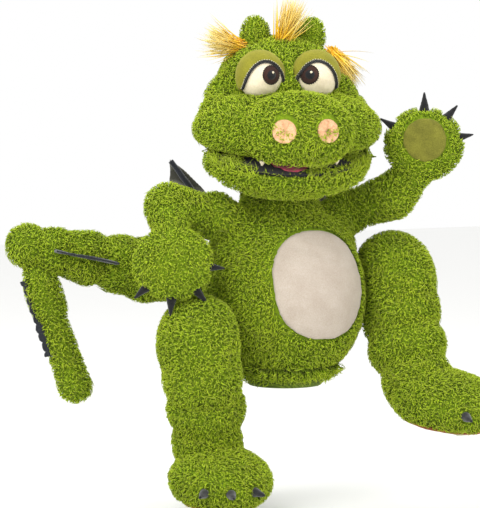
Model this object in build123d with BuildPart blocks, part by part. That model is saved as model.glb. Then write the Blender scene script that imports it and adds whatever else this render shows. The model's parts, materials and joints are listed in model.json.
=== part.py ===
"""Moving-mouth hand puppet: a plush dragon on a hollow, hand-sized body.

Millimetres. +Z is up, the puppet faces -Y and its right side is -X. The origin is the
centre of the hemmed opening in the underside, where the operator's hand goes in.
Soft pieces are plain closed solids of the right size; the skins are shells round the hand.
"""

import os
from math import cos, radians, sin

from build123d import *

# ---------------------------------------------------------------- driving dimensions
gap = 1.5            # free space between pieces that turn against each other
seam = 0.5           # space between sewn pieces that touch on the real puppet
skin = 5.0           # thickness of pile fabric with its backing

# torso sack
torso_radii = (104, 100, 118)
torso_place = Plane((0, 0, 118))
chest_place = Plane((0, 8, 178))
chest_radii = (100, 70, 56)
hand_radius = 45.0   # clear radius for the operator's forearm
cuff_height = 25.0
base_radius = 70.0   # where the base panel meets the sack
base_height = 31.0
neck_stub = 190.0    # inside the sack, where the neck and tail stubs start
tail_stub = 70.0
stuffing_top = 205.0
sleeve_top = 185.0
belly_height = 140.0
belly_turn = 8.0     # the patch looks a little to the left, degrees
belly_size = (136, 142)
belly_corner = 62.0
wrist_radius = 34.0  # clear radius through the neck

# neck and head; the head is modelled facing straight ahead, then turned about the neck
neck_y = 30.0
head_turn = -12.0
neck_base = 241.0    # height where the neck sleeve starts
neck_radius = 42.0
nod_pivot = (0, neck_y, 300)
neck_rim = 318.0     # open top of the neck sleeve, inside the head
neck_ball = 46.0
cranium_place = Plane((0, 12, 398))
cranium_radii = (82, 78, 62)
nape_place = Plane((0, 28, 345))
nape_radii = (86, 64, 62)
muzzle_place = Plane((0, -35, 345))
muzzle_radii = (124, 83, 48)
snout_place = Plane((0, -98, 343))
snout_radii = (72, 48, 48)

# mouth: both plates turn about one fold line at the back of the mouth
fold_y = -25.0
fold_z = 330.0
lip_slope = 13.0     # fall of the upper mouth plate towards the front, degrees
mouth_open = 7.0     # how far the jaw hangs open at rest, degrees
plate = 3.0          # thickness of a padded mouth plate
jaw_place = Plane((0, -48, 305))
jaw_radii = (103, 80, 49)

# joint pivots of the limbs, keyed by side: the right side is -X
shoulder = {"right": (-100, 8, 228), "left": (100, 8, 228)}
elbow = {"right": (-166, 10, 243), "left": (140, -43, 252)}
wrist = {"right": (-176, -22, 213), "left": (160, -66, 283)}
paw_centre = {"right": (-181, -39, 173), "left": (168, -78, 322)}
haunch_centre = {"right": (-142, -37, 64), "left": (142, -40, 138)}
knee = {"right": (-139, -48, 23), "left": (142, -55, 98)}
ankle = {"right": (-129, -32, -72), "left": (145, -104, 4)}
foot_centre = {"right": (-128, -72, -112), "left": (166, -149, -16)}
arm_ball = 28.0
arm_neck = 16.0
wrist_ball = 20.0
paw_radii = (50, 25, 46)
palm_radius = 29.0
palm_rise = 7.0      # the pads sit towards the fingers
haunch_radii = (50, 62, 62)
haunch_inner = 107.0  # plane where a haunch lies against the sack
knee_ball = 52.0
shin_top = 43.0
shin_bottom = 24.0
calf_radii = (47, 49, 38)  # the stuffed calf that hides the narrow ankle
calf_above_ankle = 15.0
ankle_ball = 28.0
foot_radii = (76, 64, 38)  # heel to toe, across, top to sole
sole_drop = 24.0     # from the foot's centre down to its flat underside
sole_radii = (61, 51)
sole_thickness = 5.0
claw_length = 22.0
claw_radius = 7.5

# tail pivots
tail_root = (0, 117, 105)
tail_middle = (-144, 133, 149)
tail_bend = (-300, 174, 184)
tail_end = (-251, 128, -4)
root_ball = 36.0
middle_ball = 40.0
bend_ball = 26.0
end_ball = 19.0
bend_neck = 10.0
root_neck = 18.0
middle_neck = 34.0
mid_bulge = (30, 30, 52)  # egg that fills out the middle segment
mid_bulge_at = 91.0  # its distance from the middle pivot
tip_bulge = (21, 21, 50)
tip_bulge_at = 72.0  # its distance from the bend
mid_strip = (46, 132)  # where the felt strips start and stop, from the pivots
tip_strip = (44, 150)
mid_strip_foot = (28, 24)  # distance of each strip's foot from the segment's middle line
tip_strip_foot = (16, 19)
strip_height = 12.0
strip_thickness = 3.0

# wings
wing_root = {"right": (-46, 76, 190), "left": (46, 76, 190)}
wing_turn = 22.0     # sweep of each wing behind the shoulders, degrees
felt = 3.0
strut_radius = 4.0

sides = ("right", "left")
outward = {"right": -1, "left": 1}
on_end = (Align.CENTER, Align.CENTER, Align.MIN)
os.makedirs("parts", exist_ok=True)


def egg(place, radii, grow=0.0):
    """An ellipsoid whose axes follow the plane's, thicker all round by grow."""
    with BuildPart(mode=Mode.PRIVATE) as solid:
        Sphere(1)
        scale(by=tuple(radius + grow for radius in radii))
    return solid.part.moved(place.location)


def along(start, end):
    """A plane at start whose normal points at end."""
    return Plane(origin=start, z_dir=Vector(*end) - Vector(*start))


def distance(start, end):
    """Straight distance between two points."""
    return (Vector(*end) - Vector(*start)).length


def limb(start, end, cup, ball, wide, narrow):
    """A stuffed limb from pivot to pivot: a cup over the last ball, a taper, then a new ball."""
    reach = distance(start, end)
    with BuildPart(along(start, end), mode=Mode.PRIVATE) as solid:
        Cone(wide, narrow, reach, align=on_end)
        with Locations((0, 0, reach)):
            Sphere(ball)
        Sphere(cup, mode=Mode.SUBTRACT)
    return solid.part


def half_space(place, size=2000):
    """A large block lying on the positive side of the plane."""
    with BuildPart(place, mode=Mode.PRIVATE) as block:
        Box(size, size, size, align=on_end)
    return block.part


def rod(place, radius, length):
    """A cylinder that starts on the plane and runs along its normal."""
    with BuildPart(place, mode=Mode.PRIVATE) as pin:
        Cylinder(radius, length, align=on_end)
    return pin.part


# ---------------------------------------------------------------- torso
torso_outer = egg(torso_place, torso_radii)
torso_inner = egg(torso_place, torso_radii, -skin)
neck_passage = rod(Plane((0, neck_y, 150)), wrist_radius + 2, 200)
base_opening = rod(Plane((0, 0, -10)), base_radius, base_height + 10)

with BuildPart() as body_skin:
    add(torso_outer)
    add(egg(chest_place, chest_radii))
    for side in sides:
        stub_start = (outward[side] * 45, 8, 196)
        add(limb(stub_start, shoulder[side], 5, arm_ball, 26.5, 26))
    with Locations(tail_root):
        Sphere(root_ball)
    tail_start = Plane((0, tail_stub, tail_root[2]), z_dir=(0, 1, 0))
    add(rod(tail_start, root_ball - 6, tail_root[1] - tail_stub))
    add(rod(Plane((0, neck_y, neck_stub)), neck_radius, neck_base - gap - neck_stub))
    add(torso_inner, mode=Mode.SUBTRACT)
    add(neck_passage, mode=Mode.SUBTRACT)
    add(base_opening, mode=Mode.SUBTRACT)
    with Locations((0, 0, -10)):
        Box(300, 300, 2 * (base_height + 10), mode=Mode.SUBTRACT)
body_skin.part.label = "body_skin"
export_step(body_skin.part, "parts/body_skin.step")

# dished bottom panel between the sack and the hem
with BuildPart() as base_panel:
    add(torso_outer)
    add(torso_inner, mode=Mode.SUBTRACT)
    add(half_space(Plane((0, 0, base_height - seam))), mode=Mode.SUBTRACT)
    Cylinder(hand_radius + 6, 60, mode=Mode.SUBTRACT)
base_panel.part.label = "base_panel"
export_step(base_panel.part, "parts/base_panel.step")

# hem round the hand opening
with BuildPart() as entry_cuff:
    with BuildSketch():
        Circle(hand_radius + 5)
        Circle(hand_radius, mode=Mode.SUBTRACT)
    extrude(amount=cuff_height)
    fillet(entry_cuff.edges().group_by(Axis.Z)[0].sort_by(SortBy.LENGTH)[-1], 2)
entry_cuff.part.label = "entry_cuff"
export_step(entry_cuff.part, "parts/entry_cuff.step")

# smooth lining tube from the cuff to the chest
with BuildPart() as hand_sleeve:
    with BuildSketch(Plane.XY.offset(cuff_height + seam)):
        Circle(hand_radius + 4)
        Circle(hand_radius + 1.5, mode=Mode.SUBTRACT)
    extrude(amount=sleeve_top - cuff_height)
hand_sleeve.part.label = "hand_sleeve"
export_step(hand_sleeve.part, "parts/hand_sleeve.step")

# stuffing between the lining and the skin
with BuildPart() as body_stuffing:
    add(egg(torso_place, torso_radii, -skin - 1))
    add(rod(Plane((0, 0, -10)), hand_radius + 6, 400), mode=Mode.SUBTRACT)
    add(neck_passage, mode=Mode.SUBTRACT)
    add(half_space(Plane((0, 0, base_height + 6), z_dir=(0, 0, -1))), mode=Mode.SUBTRACT)
    add(half_space(Plane((0, 0, stuffing_top))), mode=Mode.SUBTRACT)
body_stuffing.part.label = "body_stuffing"
export_step(body_stuffing.part, "parts/body_stuffing.step")

# smooth round patch sewn on the belly
belly_front = Vector(sin(radians(belly_turn)), -cos(radians(belly_turn)), 0)
with BuildPart() as belly_patch:
    add(egg(torso_place, torso_radii, 5))
    add(egg(torso_place, torso_radii, seam), mode=Mode.SUBTRACT)
    with BuildSketch(Plane((0, 0, belly_height), z_dir=belly_front)) as belly_outline:
        RectangleRounded(*belly_size, belly_corner)
    extrude(belly_outline.sketch, amount=200, mode=Mode.INTERSECT)
belly_patch.part.label = "belly_patch"
export_step(belly_patch.part, "parts/belly_patch.step")

# ---------------------------------------------------------------- neck
with BuildPart() as neck_sleeve:
    with BuildSketch(Plane.XY.offset(neck_base)):
        with Locations((0, neck_y)):
            Circle(neck_radius)
    extrude(amount=nod_pivot[2] - neck_base)
    with Locations(nod_pivot):
        Sphere(neck_ball)
    with Locations(nod_pivot):
        Cylinder(wrist_radius, 300, mode=Mode.SUBTRACT)
    add(half_space(Plane((0, 0, neck_rim))), mode=Mode.SUBTRACT)
    add(half_space(Plane((0, 0, neck_base), z_dir=(0, 0, -1))), mode=Mode.SUBTRACT)

# ---------------------------------------------------------------- head
neck_cup = egg(Plane(nod_pivot), (neck_ball + 2,) * 3)
wrist_passage = rod(Plane((0, neck_y, 250)), neck_ball, 100)
muzzle_outer = egg(muzzle_place, muzzle_radii)
snout_outer = egg(snout_place, snout_radii)
# the upper plane faces down with its Y forwards; the lower one faces up with its Y backwards
upper_fall = radians(lip_slope)
lower_fall = radians(lip_slope + mouth_open)
fold_line = (0, fold_y, fold_z)
upper_lip = Plane(fold_line, x_dir=(1, 0, 0), z_dir=(0, sin(upper_fall), -cos(upper_fall)))
lower_lip = Plane(fold_line, x_dir=(1, 0, 0), z_dir=(0, -sin(lower_fall), cos(lower_fall)))
lower_lip = lower_lip.offset(-2 * plate)
behind_fold = half_space(Plane(fold_line, z_dir=(0, 1, 0)))
below_upper_lip = half_space(upper_lip)
above_lower_lip = half_space(lower_lip)

with BuildPart() as head_skin:
    add(egg(cranium_place, cranium_radii))
    add(egg(nape_place, nape_radii))
    add(egg(cranium_place, cranium_radii, -skin), mode=Mode.SUBTRACT)
    add(egg(nape_place, nape_radii, -skin), mode=Mode.SUBTRACT)
    add(egg(muzzle_place, muzzle_radii, seam), mode=Mode.SUBTRACT)
    add(egg(snout_place, snout_radii, seam), mode=Mode.SUBTRACT)
    add(neck_cup, mode=Mode.SUBTRACT)
    with Locations((0, -100, 300)):
        Box(400, 180, 90, mode=Mode.SUBTRACT)

# stuffing that fills the crown above the hand
with BuildPart() as head_stuffing:
    add(egg(cranium_place, cranium_radii, -skin - 1))
    add(half_space(Plane((0, 0, 396), z_dir=(0, 0, -1))), mode=Mode.SUBTRACT)

with BuildPart() as muzzle:
    add(muzzle_outer)
    add(snout_outer)
    add(below_upper_lip, mode=Mode.SUBTRACT)
    with Locations((0, -22, 353)):
        Box(84, 136, 38, mode=Mode.SUBTRACT)
    add(wrist_passage, mode=Mode.SUBTRACT)
    add(neck_cup, mode=Mode.SUBTRACT)
    add(half_space(Plane((0, 10, 0), z_dir=(0, 1, 0))), mode=Mode.SUBTRACT)

# flat fabric tube over the upper plate: the fingers' pocket
with BuildPart() as finger_pocket:
    with BuildSketch(Plane.XZ.offset(-10)):
        with Locations((0, 355)):
            SlotOverall(80, 30)
            SlotOverall(75, 25, mode=Mode.SUBTRACT)
    extrude(amount=94)

with BuildPart() as mouth_form:
    add(egg(muzzle_place, muzzle_radii, -4))
    add(egg(snout_place, snout_radii, -4))

with BuildPart() as upper_mouth_plate:
    with BuildSketch(upper_lip.offset(seam)):
        Rectangle(500, 500)
    extrude(amount=plate)
    add(mouth_form.part, mode=Mode.INTERSECT)
    add(behind_fold, mode=Mode.SUBTRACT)

# two small fangs that hang from the front of the upper lip
with BuildPart() as fangs:
    for tooth_x in (-50, 50):
        with Locations(upper_lip.offset(plate + 2 * seam).location):
            with Locations((tooth_x, 83, 0)):
                Cone(4.5, 1.2, 7, align=(Align.CENTER, Align.CENTER, Align.MIN))

# eyes: padded domes with layered felt, arched velour lids and a cord along each lid's edge
eye_x = {"right": -41, "left": 34}
iris_x = {"right": -31, "left": 20}
eye_radii = (30, 24, 31)
eye_y = -56.0
eye_z = 416.0
iris_rise = 2.0      # the irises sit a little above the middle of the eyes
iris_radius = 12.5
pupil_radius = 7.5
lid_thickness = 3.5
lid_foot = 396.0     # height where the lids run into the muzzle
arch_radii = (27, 41)  # opening of the lid, centred at its foot
arch_shift = 2.5     # the openings sit a little towards the nose
lash_width = 3.0
crown_clear = egg(cranium_place, cranium_radii, seam)
muzzle_clear = egg(muzzle_place, muzzle_radii, seam)


def lid_opening(place, grow):
    """The arched opening of a lid, run forwards from the middle of the eye."""
    with BuildPart(mode=Mode.PRIVATE) as opening:
        with BuildSketch(place):
            Ellipse(arch_radii[0] + grow, arch_radii[1] + grow)
        extrude(amount=60)
    return opening.part


eyes = {}
eyelids = {}
lash_cords = {}
iris_discs = {}
pupil_discs = {}
for side in sides:
    eye_place = Plane((eye_x[side], eye_y, eye_z))
    arch_middle = (eye_x[side] - outward[side] * arch_shift, eye_y, lid_foot - 3)
    arch = Plane(arch_middle, x_dir=(1, 0, 0), z_dir=(0, -1, 0))
    forward = Plane((iris_x[side], eye_y, eye_z + iris_rise), z_dir=(0, -1, 0))
    under_lid = half_space(Plane((0, 0, lid_foot), z_dir=(0, 0, -1)))
    with BuildPart() as eye:
        add(egg(eye_place, eye_radii))
        add(crown_clear, mode=Mode.SUBTRACT)
        add(muzzle_clear, mode=Mode.SUBTRACT)
    eyes[side] = eye.part
    with BuildPart() as eyelid:
        add(egg(eye_place, eye_radii, lid_thickness))
        add(egg(eye_place, eye_radii, seam), mode=Mode.SUBTRACT)
        add(lid_opening(arch, lash_width + seam), mode=Mode.SUBTRACT)
        add(under_lid, mode=Mode.SUBTRACT)
        add(crown_clear, mode=Mode.SUBTRACT)
        add(muzzle_clear, mode=Mode.SUBTRACT)
    eyelids[side] = eyelid.part
    with BuildPart() as lash_cord:
        add(egg(eye_place, eye_radii, lid_thickness))
        add(egg(eye_place, eye_radii, seam), mode=Mode.SUBTRACT)
        add(lid_opening(arch, lash_width), mode=Mode.INTERSECT)
        add(lid_opening(arch, 0), mode=Mode.SUBTRACT)
        add(under_lid, mode=Mode.SUBTRACT)
        add(crown_clear, mode=Mode.SUBTRACT)
        add(muzzle_clear, mode=Mode.SUBTRACT)
    lash_cords[side] = lash_cord.part
    with BuildPart() as iris:
        add(egg(eye_place, eye_radii, 2))
        add(egg(eye_place, eye_radii, seam), mode=Mode.SUBTRACT)
        add(rod(forward, iris_radius, 60), mode=Mode.INTERSECT)
        add(lid_opening(arch, -seam), mode=Mode.INTERSECT)
    iris_discs[side] = iris.part
    with BuildPart() as pupil:
        add(egg(eye_place, eye_radii, 4))
        add(egg(eye_place, eye_radii, 2 + seam), mode=Mode.SUBTRACT)
        add(rod(forward, pupil_radius, 60), mode=Mode.INTERSECT)
        add(lid_opening(arch, -seam), mode=Mode.INTERSECT)
    pupil_discs[side] = pupil.part

# the small matching pieces of both eyes, as groups of two
with BuildPart() as irises:
    add(iris_discs["right"])
    add(iris_discs["left"])
with BuildPart() as pupils:
    add(pupil_discs["right"])
    add(pupil_discs["left"])
with BuildPart() as lash_lines:
    add(lash_cords["right"])
    add(lash_cords["left"])

# round plush ears on the crown
ear_place = {"right": Plane((-32, 12, 462)), "left": Plane((42, 12, 460), z_dir=(0.25, 0, 1))}
ear_radii = (18, 14, 29)
ears = {}
for side in sides:
    with BuildPart() as ear:
        add(egg(ear_place[side], ear_radii))
        add(crown_clear, mode=Mode.SUBTRACT)
    ears[side] = ear.part

# three long-pile hair tufts: one beside each ear and one between them
tuft_places = {
    "hair_tuft_right": Plane((-78, 2, 456), x_dir=(-1, 0, 0.12), z_dir=(0.12, 0, 1)),
    "hair_tuft_centre": Plane((8, -8, 476), x_dir=(0.5, 0, 1), z_dir=(-1, 0, 0.5)),
    "hair_tuft_left": Plane((86, 2, 424), x_dir=(0.7, 0, -0.7), z_dir=(0.7, 0, 0.7)),
}
tufts = {}
for name, place in tuft_places.items():
    with BuildPart() as tuft:
        add(egg(place, (29, 11, 14)))
        add(crown_clear, mode=Mode.SUBTRACT)
        for side in sides:
            add(egg(ear_place[side], ear_radii, 2 * seam), mode=Mode.SUBTRACT)
    tufts[name] = tuft.part

# puckered nostril pads on the front of the snout
nostrils = {}
for side in sides:
    aim = Plane((outward[side] * 23, -100, 350), z_dir=(outward[side] * 0.15, -1, 0.05))
    with BuildPart() as nostril:
        add(egg(snout_place, snout_radii, 4))
        add(egg(snout_place, snout_radii, seam), mode=Mode.SUBTRACT)
        add(rod(aim, 16, 80), mode=Mode.INTERSECT)
    nostrils[side] = nostril.part

# ---------------------------------------------------------------- jaw
jaw_relief = radians(26)
jaw_back = Plane((0, fold_y - 5, fold_z), z_dir=(0, cos(jaw_relief), -sin(jaw_relief)))

with BuildPart() as jaw_skin:
    add(egg(jaw_place, jaw_radii))
    add(egg(jaw_place, jaw_radii, -skin - 3), mode=Mode.SUBTRACT)
    add(half_space(lower_lip.offset(-plate - seam)), mode=Mode.SUBTRACT)
    add(half_space(jaw_back), mode=Mode.SUBTRACT)

with BuildPart() as lower_mouth_plate:
    add(egg(jaw_place, jaw_radii, -2))
    with BuildSketch(lower_lip.offset(-plate)) as lower_layer:
        Rectangle(500, 500)
    extrude(lower_layer.sketch, amount=plate, mode=Mode.INTERSECT)
    add(half_space(jaw_back.offset(-2)), mode=Mode.SUBTRACT)

with BuildPart() as tongue:
    with BuildSketch(lower_lip.offset(seam)):
        with Locations((-8, -58)):
            Ellipse(28, 37)
    extrude(amount=3)

# fabric loop under the lower plate for the thumb
with BuildPart(lower_lip.offset(-plate - 14)) as thumb_pocket:
    with Locations((0, -50, 0)):
        Box(46, 36, 24)
        Box(40, 40, 18, mode=Mode.SUBTRACT)

# ---------------------------------------------------------------- the head is turned on the neck
neck_axis = Axis((0, neck_y, 0), (0, 0, 1))
turned = {
    "neck_sleeve": neck_sleeve.part,
    "head_skin": head_skin.part,
    "head_stuffing": head_stuffing.part,
    "muzzle": muzzle.part,
    "finger_pocket": finger_pocket.part,
    "upper_mouth_plate": upper_mouth_plate.part,
    "fangs": fangs.part,
    "irises": irises.part,
    "pupils": pupils.part,
    "lash_lines": lash_lines.part,
    "jaw_skin": jaw_skin.part,
    "lower_mouth_plate": lower_mouth_plate.part,
    "tongue": tongue.part,
    "thumb_pocket": thumb_pocket.part,
}
turned.update(tufts)
for side in sides:
    turned[f"eye_{side}"] = eyes[side]
    turned[f"eyelid_{side}"] = eyelids[side]
    turned[f"ear_{side}"] = ears[side]
    turned[f"nostril_{side}"] = nostrils[side]
for name, piece in turned.items():
    placed = piece.rotate(neck_axis, head_turn)
    placed.label = name
    export_step(placed, f"parts/{name}.step")

# ---------------------------------------------------------------- arms
across = Vector(cos(radians(-25)), sin(radians(-25)), 0)
fingers = {"right": Vector(0, -0.1, -1), "left": Vector(0.05, 0, 1)}
claw_angles = {"right": (-50, -5, 38, 82), "left": (-62, -2, 38, 76)}

for side in sides:
    with BuildPart() as upper_arm:
        add(limb(shoulder[side], elbow[side], arm_ball + gap, arm_ball, arm_neck + 1, arm_neck))
    upper_arm.part.label = f"upper_arm_{side}"
    export_step(upper_arm.part, f"parts/upper_arm_{side}.step")

    with BuildPart() as forearm:
        add(limb(elbow[side], wrist[side], arm_ball + gap, wrist_ball, arm_neck + 1, arm_neck))
    forearm.part.label = f"forearm_{side}"
    export_step(forearm.part, f"parts/forearm_{side}.step")

    # the paw's plane: X across the fingers, Z towards the finger tips
    paw_place = Plane(paw_centre[side], x_dir=across, z_dir=fingers[side])
    wrist_cup = egg(Plane(wrist[side]), (wrist_ball + gap,) * 3)
    paw_clear = egg(paw_place, paw_radii, seam)
    with BuildPart() as paw:
        add(egg(paw_place, paw_radii))
        add(wrist_cup, mode=Mode.SUBTRACT)
    paw.part.label = f"paw_{side}"
    export_step(paw.part, f"parts/paw_{side}.step")

    palm_face = Plane(paw_place.origin + paw_place.z_dir * palm_rise, z_dir=-paw_place.y_dir)
    with BuildPart() as palm_pad:
        add(egg(paw_place, paw_radii, 3.5))
        add(paw_clear, mode=Mode.SUBTRACT)
        add(rod(palm_face, palm_radius, 60), mode=Mode.INTERSECT)
    palm_pad.part.label = f"palm_pad_{side}"
    export_step(palm_pad.part, f"parts/palm_pad_{side}.step")

    with BuildPart() as claws:
        for angle in claw_angles[side]:
            turn = radians(angle)
            ray = paw_place.x_dir * sin(turn) + paw_place.z_dir * cos(turn)
            claw_root = Plane(paw_place.origin + ray * (paw_radii[2] - 4), z_dir=ray)
            with Locations(claw_root.location):
                Cone(claw_radius, 1, claw_length, align=on_end)
        add(paw_clear, mode=Mode.SUBTRACT)
    claws.part.label = f"claws_{side}"
    export_step(claws.part, f"parts/claws_{side}.step")

# ---------------------------------------------------------------- legs
toe_direction = {"right": Vector(-0.25, -0.96, -0.1), "left": Vector(0.3, -0.93, -0.15)}
toe_angles = (-30, 0, 30)

for side in sides:
    inner_face = Plane((outward[side] * haunch_inner, 0, 0), z_dir=(-outward[side], 0, 0))
    with BuildPart() as haunch:
        add(egg(Plane(haunch_centre[side]), haunch_radii))
        with Locations(knee[side]):
            Sphere(knee_ball)
        add(half_space(inner_face), mode=Mode.SUBTRACT)
    haunch.part.label = f"haunch_{side}"
    export_step(haunch.part, f"parts/haunch_{side}.step")

    shin_line = along(knee[side], ankle[side])
    calf_middle = distance(knee[side], ankle[side]) - calf_above_ankle - calf_radii[2]
    with BuildPart() as shin:
        add(limb(knee[side], ankle[side], knee_ball + gap, ankle_ball, shin_top, shin_bottom))
        add(egg(shin_line.offset(calf_middle), calf_radii))
        with Locations(knee[side]):
            Sphere(knee_ball + gap, mode=Mode.SUBTRACT)
    shin.part.label = f"shin_{side}"
    export_step(shin.part, f"parts/shin_{side}.step")

    # the foot's plane: X towards the toes, Z out of the instep; its top is cut clear of the shin
    toes = toe_direction[side]
    instep = toes.cross(Vector(0, 0, 1)).cross(toes)
    foot_place = Plane(foot_centre[side], x_dir=toes, z_dir=instep)
    ankle_cup = egg(Plane(ankle[side]), (ankle_ball + gap,) * 3)
    with BuildPart(along(ankle[side], knee[side]).offset(-12), mode=Mode.PRIVATE) as shin_room:
        Cone(17, 62, 82, align=on_end)
    sole_middle = foot_place.origin - foot_place.z_dir * sole_drop
    sole_place = Plane(sole_middle, x_dir=toes, z_dir=-foot_place.z_dir)
    with BuildPart() as foot:
        add(egg(foot_place, foot_radii))
        add(half_space(sole_place), mode=Mode.SUBTRACT)
        add(ankle_cup, mode=Mode.SUBTRACT)
        add(shin_room.part, mode=Mode.SUBTRACT)
    foot.part.label = f"foot_{side}"
    export_step(foot.part, f"parts/foot_{side}.step")

    with BuildPart() as sole:
        with BuildSketch(sole_place.offset(seam)):
            Ellipse(*sole_radii)
        extrude(amount=sole_thickness)
        fillet(sole.faces().sort_by(Axis.Z)[0].edges(), 2)
    sole.part.label = f"sole_{side}"
    export_step(sole.part, f"parts/sole_{side}.step")

    with BuildPart() as toe_claws:
        for angle in toe_angles:
            turn = radians(angle)
            aside = foot_place.y_dir * sin(turn) * foot_radii[1]
            ray = foot_place.x_dir * cos(turn) * foot_radii[0] + aside
            claw_root = Plane(foot_place.origin + ray * 0.97, z_dir=ray)
            with Locations(claw_root.location):
                Cone(claw_radius, 1.5, claw_length, align=on_end)
        add(egg(foot_place, foot_radii, 4), mode=Mode.SUBTRACT)
    toe_claws.part.label = f"toe_claws_{side}"
    export_step(toe_claws.part, f"parts/toe_claws_{side}.step")

# ---------------------------------------------------------------- tail
def spine_strip(start, end, foot_radii, span, face):
    """A felt strip that stands on a tapered segment, on the side that face points to."""
    wide, narrow = foot_radii
    begin, finish = span
    reach = distance(start, end)
    core = along(start, end)
    rise = core.z_dir.cross(face).cross(core.z_dir).normalized()
    middle = core.origin + core.z_dir * (begin + finish) / 2 + rise * 30
    place = Plane(middle, x_dir=core.z_dir, z_dir=core.z_dir.cross(rise))
    with BuildPart(core, mode=Mode.PRIVATE) as solid:
        Cone(wide + strip_height, narrow + strip_height, reach, align=on_end)
        Cone(wide + seam, narrow + seam, reach, align=on_end, mode=Mode.SUBTRACT)
    with BuildPart(place, mode=Mode.PRIVATE) as blade:
        Box(finish - begin, 60, strip_thickness)
    with BuildPart(mode=Mode.PRIVATE) as strip:
        add(solid.part)
        add(blade.part, mode=Mode.INTERSECT)
    return strip.part


with BuildPart() as tail_base:
    add(limb(tail_root, tail_middle, root_ball + gap, middle_ball, root_neck, middle_neck))
tail_base.part.label = "tail_base"
export_step(tail_base.part, "parts/tail_base.step")

mid_place = along(tail_middle, tail_bend).offset(mid_bulge_at)
with BuildPart() as tail_mid:
    add(limb(tail_middle, tail_bend, middle_ball + gap, bend_ball, middle_neck, bend_neck))
    add(egg(mid_place, mid_bulge))
    with Locations(tail_middle):
        Sphere(middle_ball + gap, mode=Mode.SUBTRACT)
tail_mid.part.label = "tail_mid"
export_step(tail_mid.part, "parts/tail_mid.step")

tip_place = along(tail_bend, tail_end).offset(tip_bulge_at)
with BuildPart() as tail_tip:
    add(limb(tail_bend, tail_end, bend_ball + gap, end_ball, bend_neck, end_ball - 0.5))
    add(egg(tip_place, tip_bulge))
    with Locations(tail_bend):
        Sphere(bend_ball + gap, mode=Mode.SUBTRACT)
tail_tip.part.label = "tail_tip"
export_step(tail_tip.part, "parts/tail_tip.step")

with BuildPart() as spine_mid:
    add(spine_strip(tail_middle, tail_bend, mid_strip_foot, mid_strip, Vector(-0.4, -0.9, 0.1)))
    add(egg(mid_place, mid_bulge, seam), mode=Mode.SUBTRACT)
spine_mid.part.label = "spine_mid"
export_step(spine_mid.part, "parts/spine_mid.step")

with BuildPart() as spine_tip:
    add(spine_strip(tail_bend, tail_end, tip_strip_foot, tip_strip, Vector(-0.9, -0.1, -0.2)))
    add(egg(tip_place, tip_bulge, seam), mode=Mode.SUBTRACT)
spine_tip.part.label = "spine_tip"
export_step(spine_tip.part, "parts/spine_tip.step")

# ---------------------------------------------------------------- wings
wing_points = [(0, 0), (14, 44), (40, 74), (82, 112), (80, 74), (92, 52), (66, 34), (58, 8), (28, 0)]
strut_tips = ((80, 108), (88, 54), (56, 8))
for side in sides:
    root = Vector(*wing_root[side])
    spread = Vector(outward[side] * cos(radians(wing_turn)), sin(radians(wing_turn)), 0)
    sheet = Plane(root, x_dir=spread, z_dir=spread.cross(Vector(0, 0, 1)))
    with BuildPart() as wing_membrane:
        with BuildSketch(sheet):
            Polygon(*wing_points, align=None)
        extrude(amount=felt / 2, both=True)
    wing_membrane.part.label = f"wing_membrane_{side}"
    export_step(wing_membrane.part, f"parts/wing_membrane_{side}.step")

    # stuffed struts lie on the sheet's front face and fan out from the root
    with BuildPart() as wing_struts:
        front = sheet.offset(outward[side] * (felt / 2 + strut_radius + seam))
        hub = front.from_local_coords(Vector(6, 6, 0))
        for tip_x, tip_y in strut_tips:
            tip = front.from_local_coords(Vector(tip_x, tip_y, 0))
            add(rod(Plane(hub, z_dir=tip - hub), strut_radius, (tip - hub).length))
    wing_struts.part.label = f"wing_struts_{side}"
    export_step(wing_struts.part, f"parts/wing_struts_{side}.step")
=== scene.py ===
"""The looks of the moving-mouth dragon puppet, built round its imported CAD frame.

Every soft CAD solid is replaced by a stuffed skin made in its space, and the plush pile is
real geometry: tapered tufts planted on the skins. Lengths here are millimetres until mm()."""
import json
import math

import bpy
import numpy as np
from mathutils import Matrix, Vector
from mathutils.bvhtree import BVHTree


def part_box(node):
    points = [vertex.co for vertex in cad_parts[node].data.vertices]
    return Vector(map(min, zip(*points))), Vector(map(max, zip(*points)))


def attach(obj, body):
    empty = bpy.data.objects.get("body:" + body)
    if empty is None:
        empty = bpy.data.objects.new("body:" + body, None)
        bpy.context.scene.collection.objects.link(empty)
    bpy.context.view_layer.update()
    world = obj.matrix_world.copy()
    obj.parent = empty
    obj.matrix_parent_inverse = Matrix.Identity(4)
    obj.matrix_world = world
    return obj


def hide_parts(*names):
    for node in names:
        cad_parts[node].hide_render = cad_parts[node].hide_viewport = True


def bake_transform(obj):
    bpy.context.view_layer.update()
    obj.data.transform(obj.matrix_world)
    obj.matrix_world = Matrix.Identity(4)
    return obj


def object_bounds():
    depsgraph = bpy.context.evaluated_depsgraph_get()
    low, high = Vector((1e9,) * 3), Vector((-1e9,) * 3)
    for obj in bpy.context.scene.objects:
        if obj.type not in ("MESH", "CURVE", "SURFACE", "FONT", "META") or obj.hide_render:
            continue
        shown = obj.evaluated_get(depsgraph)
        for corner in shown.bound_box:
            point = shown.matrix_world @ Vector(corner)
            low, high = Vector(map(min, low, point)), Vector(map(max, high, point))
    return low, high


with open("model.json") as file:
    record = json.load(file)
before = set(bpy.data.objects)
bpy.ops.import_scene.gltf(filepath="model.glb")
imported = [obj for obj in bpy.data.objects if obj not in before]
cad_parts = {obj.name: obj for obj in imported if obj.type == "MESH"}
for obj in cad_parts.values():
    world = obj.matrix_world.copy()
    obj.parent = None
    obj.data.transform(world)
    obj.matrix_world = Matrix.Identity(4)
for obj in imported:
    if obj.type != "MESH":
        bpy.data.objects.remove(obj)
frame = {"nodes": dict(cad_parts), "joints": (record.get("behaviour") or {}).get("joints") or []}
cad_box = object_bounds()
MM = 0.001
DOWN = np.array([0.0, 0.0, -1.0])
UP = -DOWN
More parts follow.
